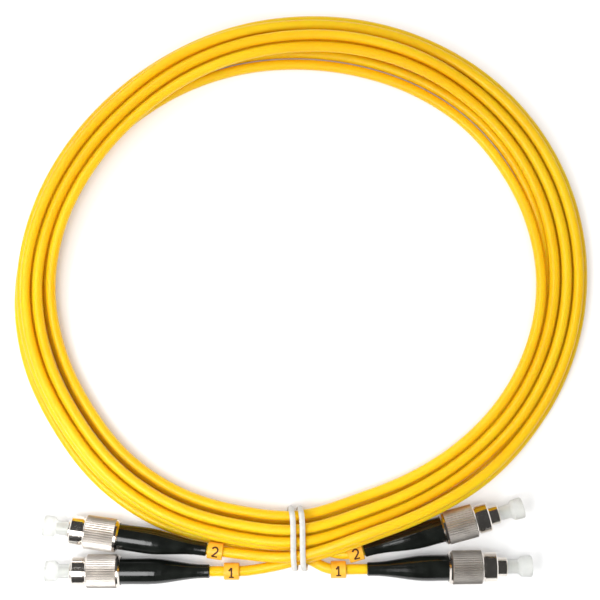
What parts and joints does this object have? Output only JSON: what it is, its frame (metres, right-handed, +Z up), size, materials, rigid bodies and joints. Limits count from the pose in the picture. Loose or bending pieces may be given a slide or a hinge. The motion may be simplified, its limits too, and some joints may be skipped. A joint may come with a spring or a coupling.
{
  "type": "fiber optic patch cord",
  "caption": "Duplex fibre optic patch cord wound in a ring and tied: yellow 3 mm legs with threaded ferrule connectors, black boots and dust caps at their ends.",
  "frame": {"origin": "on the table, amid the four connectors and the wire tie", "axes": "+X along the lower edge of the ring, towards the right-hand connectors; +Y from the tie across the ring; +Z up"},
  "size_m": [0.1689, 0.1682, 0.0136],
  "materials": {
    "jacket": "smooth satin PVC jacket",
    "boot_rubber": "satin moulded",
    "plated_metal": "satin nickel plate",
    "inner_metal": "nickel plate",
    "crimp_metal": "dull, crimped",
    "spring_steel": "drawn wire",
    "ceramic": "polished zirconia",
    "buffer_plastic": "smooth",
    "cap_plastic": "translucent, soft",
    "marker_plastic": "satin",
    "tie_plastic": "soft plastic coat on wire"
  },
  "bodies": {
    "cord": {"plug_frame_a1": "plated_metal", "rear_body_a1": "inner_metal", "retaining_clip_a1": "spring_steel", "crimp_sleeve_a1": "crimp_metal", "boot_a1": "boot_rubber", "ferrule_spring_a1": "spring_steel", "plug_frame_b1": "plated_metal", "rear_body_b1": "inner_metal", "retaining_clip_b1": "spring_steel", "crimp_sleeve_b1": "crimp_metal", "boot_b1": "boot_rubber", "ferrule_spring_b1": "spring_steel", "plug_frame_a2": "plated_metal", "rear_body_a2": "inner_metal", "retaining_clip_a2": "spring_steel", "crimp_sleeve_a2": "crimp_metal", "boot_a2": "boot_rubber", "ferrule_spring_a2": "spring_steel", "plug_frame_b2": "plated_metal", "rear_body_b2": "inner_metal", "retaining_clip_b2": "spring_steel", "crimp_sleeve_b2": "crimp_metal", "boot_b2": "boot_rubber", "ferrule_spring_b2": "spring_steel", "coil_a": "jacket", "coil_b": "jacket", "lead_a1": "jacket", "lead_b1": "jacket", "lead_a2": "jacket", "lead_b2": "jacket", "wire_tie": "tie_plastic"},
    "nut_a1": {"coupling_nut_a1": "plated_metal"},
    "core_a1": {"ferrule_a1": "ceramic", "ferrule_flange_a1": "inner_metal", "fibre_buffer_a1": "buffer_plastic"},
    "cap_a1": {"dust_cap_a1": "cap_plastic"},
    "marker_a1": {"marker_ring_a1": "marker_plastic"},
    "nut_b1": {"coupling_nut_b1": "plated_metal"},
    "core_b1": {"ferrule_b1": "ceramic", "ferrule_flange_b1": "inner_metal", "fibre_buffer_b1": "buffer_plastic"},
    "cap_b1": {"dust_cap_b1": "cap_plastic"},
    "marker_b1": {"marker_ring_b1": "marker_plastic"},
    "nut_a2": {"coupling_nut_a2": "plated_metal"},
    "core_a2": {"ferrule_a2": "ceramic", "ferrule_flange_a2": "inner_metal", "fibre_buffer_a2": "buffer_plastic"},
    "cap_a2": {"dust_cap_a2": "cap_plastic"},
    "marker_a2": {"marker_ring_a2": "marker_plastic"},
    "nut_b2": {"coupling_nut_b2": "plated_metal"},
    "core_b2": {"ferrule_b2": "ceramic", "ferrule_flange_b2": "inner_metal", "fibre_buffer_b2": "buffer_plastic"},
    "cap_b2": {"dust_cap_b2": "cap_plastic"},
    "marker_b2": {"marker_ring_b2": "marker_plastic"}
  },
  "joints": [
    {"name": "nut_turn_a1", "type": "hinge", "parent": "cord", "child": "nut_a1", "pos_m": [-0.0564, -0.0085, 0.0049], "axis": [-1, 0, 0], "continuous": true},
    {"name": "ferrule_slide_a1", "type": "slide", "parent": "cord", "child": "core_a1", "axis": [-1, 0, 0], "range_m": [-0.0009, 0], "stiffness_N_per_m": 6000, "springref_m": 0.0012, "deforming": ["ferrule_spring_a1"]},
    {"name": "cap_pull_a1", "type": "slide", "parent": "core_a1", "child": "cap_a1", "axis": [-1, 0, 0], "range_m": [0, 0.02]},
    {"name": "marker_turn_a1", "type": "hinge", "parent": "cord", "child": "marker_a1", "pos_m": [-0.0172, -0.0085, 0.0049], "axis": [-1, 0, 0], "continuous": true},
    {"name": "nut_turn_b1", "type": "hinge", "parent": "cord", "child": "nut_b1", "pos_m": [-0.05695, 0.00272, 0.0049], "axis": [-0.9893, 0.1461, 0], "continuous": true},
    {"name": "ferrule_slide_b1", "type": "slide", "parent": "cord", "child": "core_b1", "axis": [-0.9893, 0.1461, 0], "range_m": [-0.0009, 0], "stiffness_N_per_m": 6000, "springref_m": 0.0012, "deforming": ["ferrule_spring_b1"]},
    {"name": "cap_pull_b1", "type": "slide", "parent": "core_b1", "child": "cap_b1", "axis": [-0.9893, 0.1461, 0], "range_m": [0, 0.02]},
    {"name": "marker_turn_b1", "type": "hinge", "parent": "cord", "child": "marker_b1", "pos_m": [-0.02202, -0.00244, 0.0049], "axis": [-0.9893, 0.1461, 0], "continuous": true},
    {"name": "nut_turn_a2", "type": "hinge", "parent": "cord", "child": "nut_a2", "pos_m": [0.05579, -0.00727, 0.0049], "axis": [0.9998, 0.0175, 0], "continuous": true},
    {"name": "ferrule_slide_a2", "type": "slide", "parent": "cord", "child": "core_a2", "axis": [0.9998, 0.0175, 0], "range_m": [-0.0009, 0], "stiffness_N_per_m": 6000, "springref_m": 0.0012, "deforming": ["ferrule_spring_a2"]},
    {"name": "cap_pull_a2", "type": "slide", "parent": "core_a2", "child": "cap_a2", "axis": [0.9998, 0.0175, 0], "range_m": [0, 0.02]},
    {"name": "marker_turn_a2", "type": "hinge", "parent": "cord", "child": "marker_a2", "pos_m": [0.0146, -0.00799, 0.0049], "axis": [0.9998, 0.0175, 0], "continuous": true},
    {"name": "nut_turn_b2", "type": "hinge", "parent": "cord", "child": "nut_b2", "pos_m": [0.05375, 0.00625, 0.0049], "axis": [0.965, 0.2622, 0], "continuous": true},
    {"name": "ferrule_slide_b2", "type": "slide", "parent": "cord", "child": "core_b2", "axis": [0.965, 0.2622, 0], "range_m": [-0.0009, 0], "stiffness_N_per_m": 6000, "springref_m": 0.0012, "deforming": ["ferrule_spring_b2"]},
    {"name": "cap_pull_b2", "type": "slide", "parent": "core_b2", "child": "cap_b2", "axis": [0.965, 0.2622, 0], "range_m": [0, 0.02]},
    {"name": "marker_turn_b2", "type": "hinge", "parent": "cord", "child": "marker_b2", "pos_m": [0.01968, -0.003, 0.0049], "axis": [0.965, 0.2622, 0], "continuous": true}
  ]
}
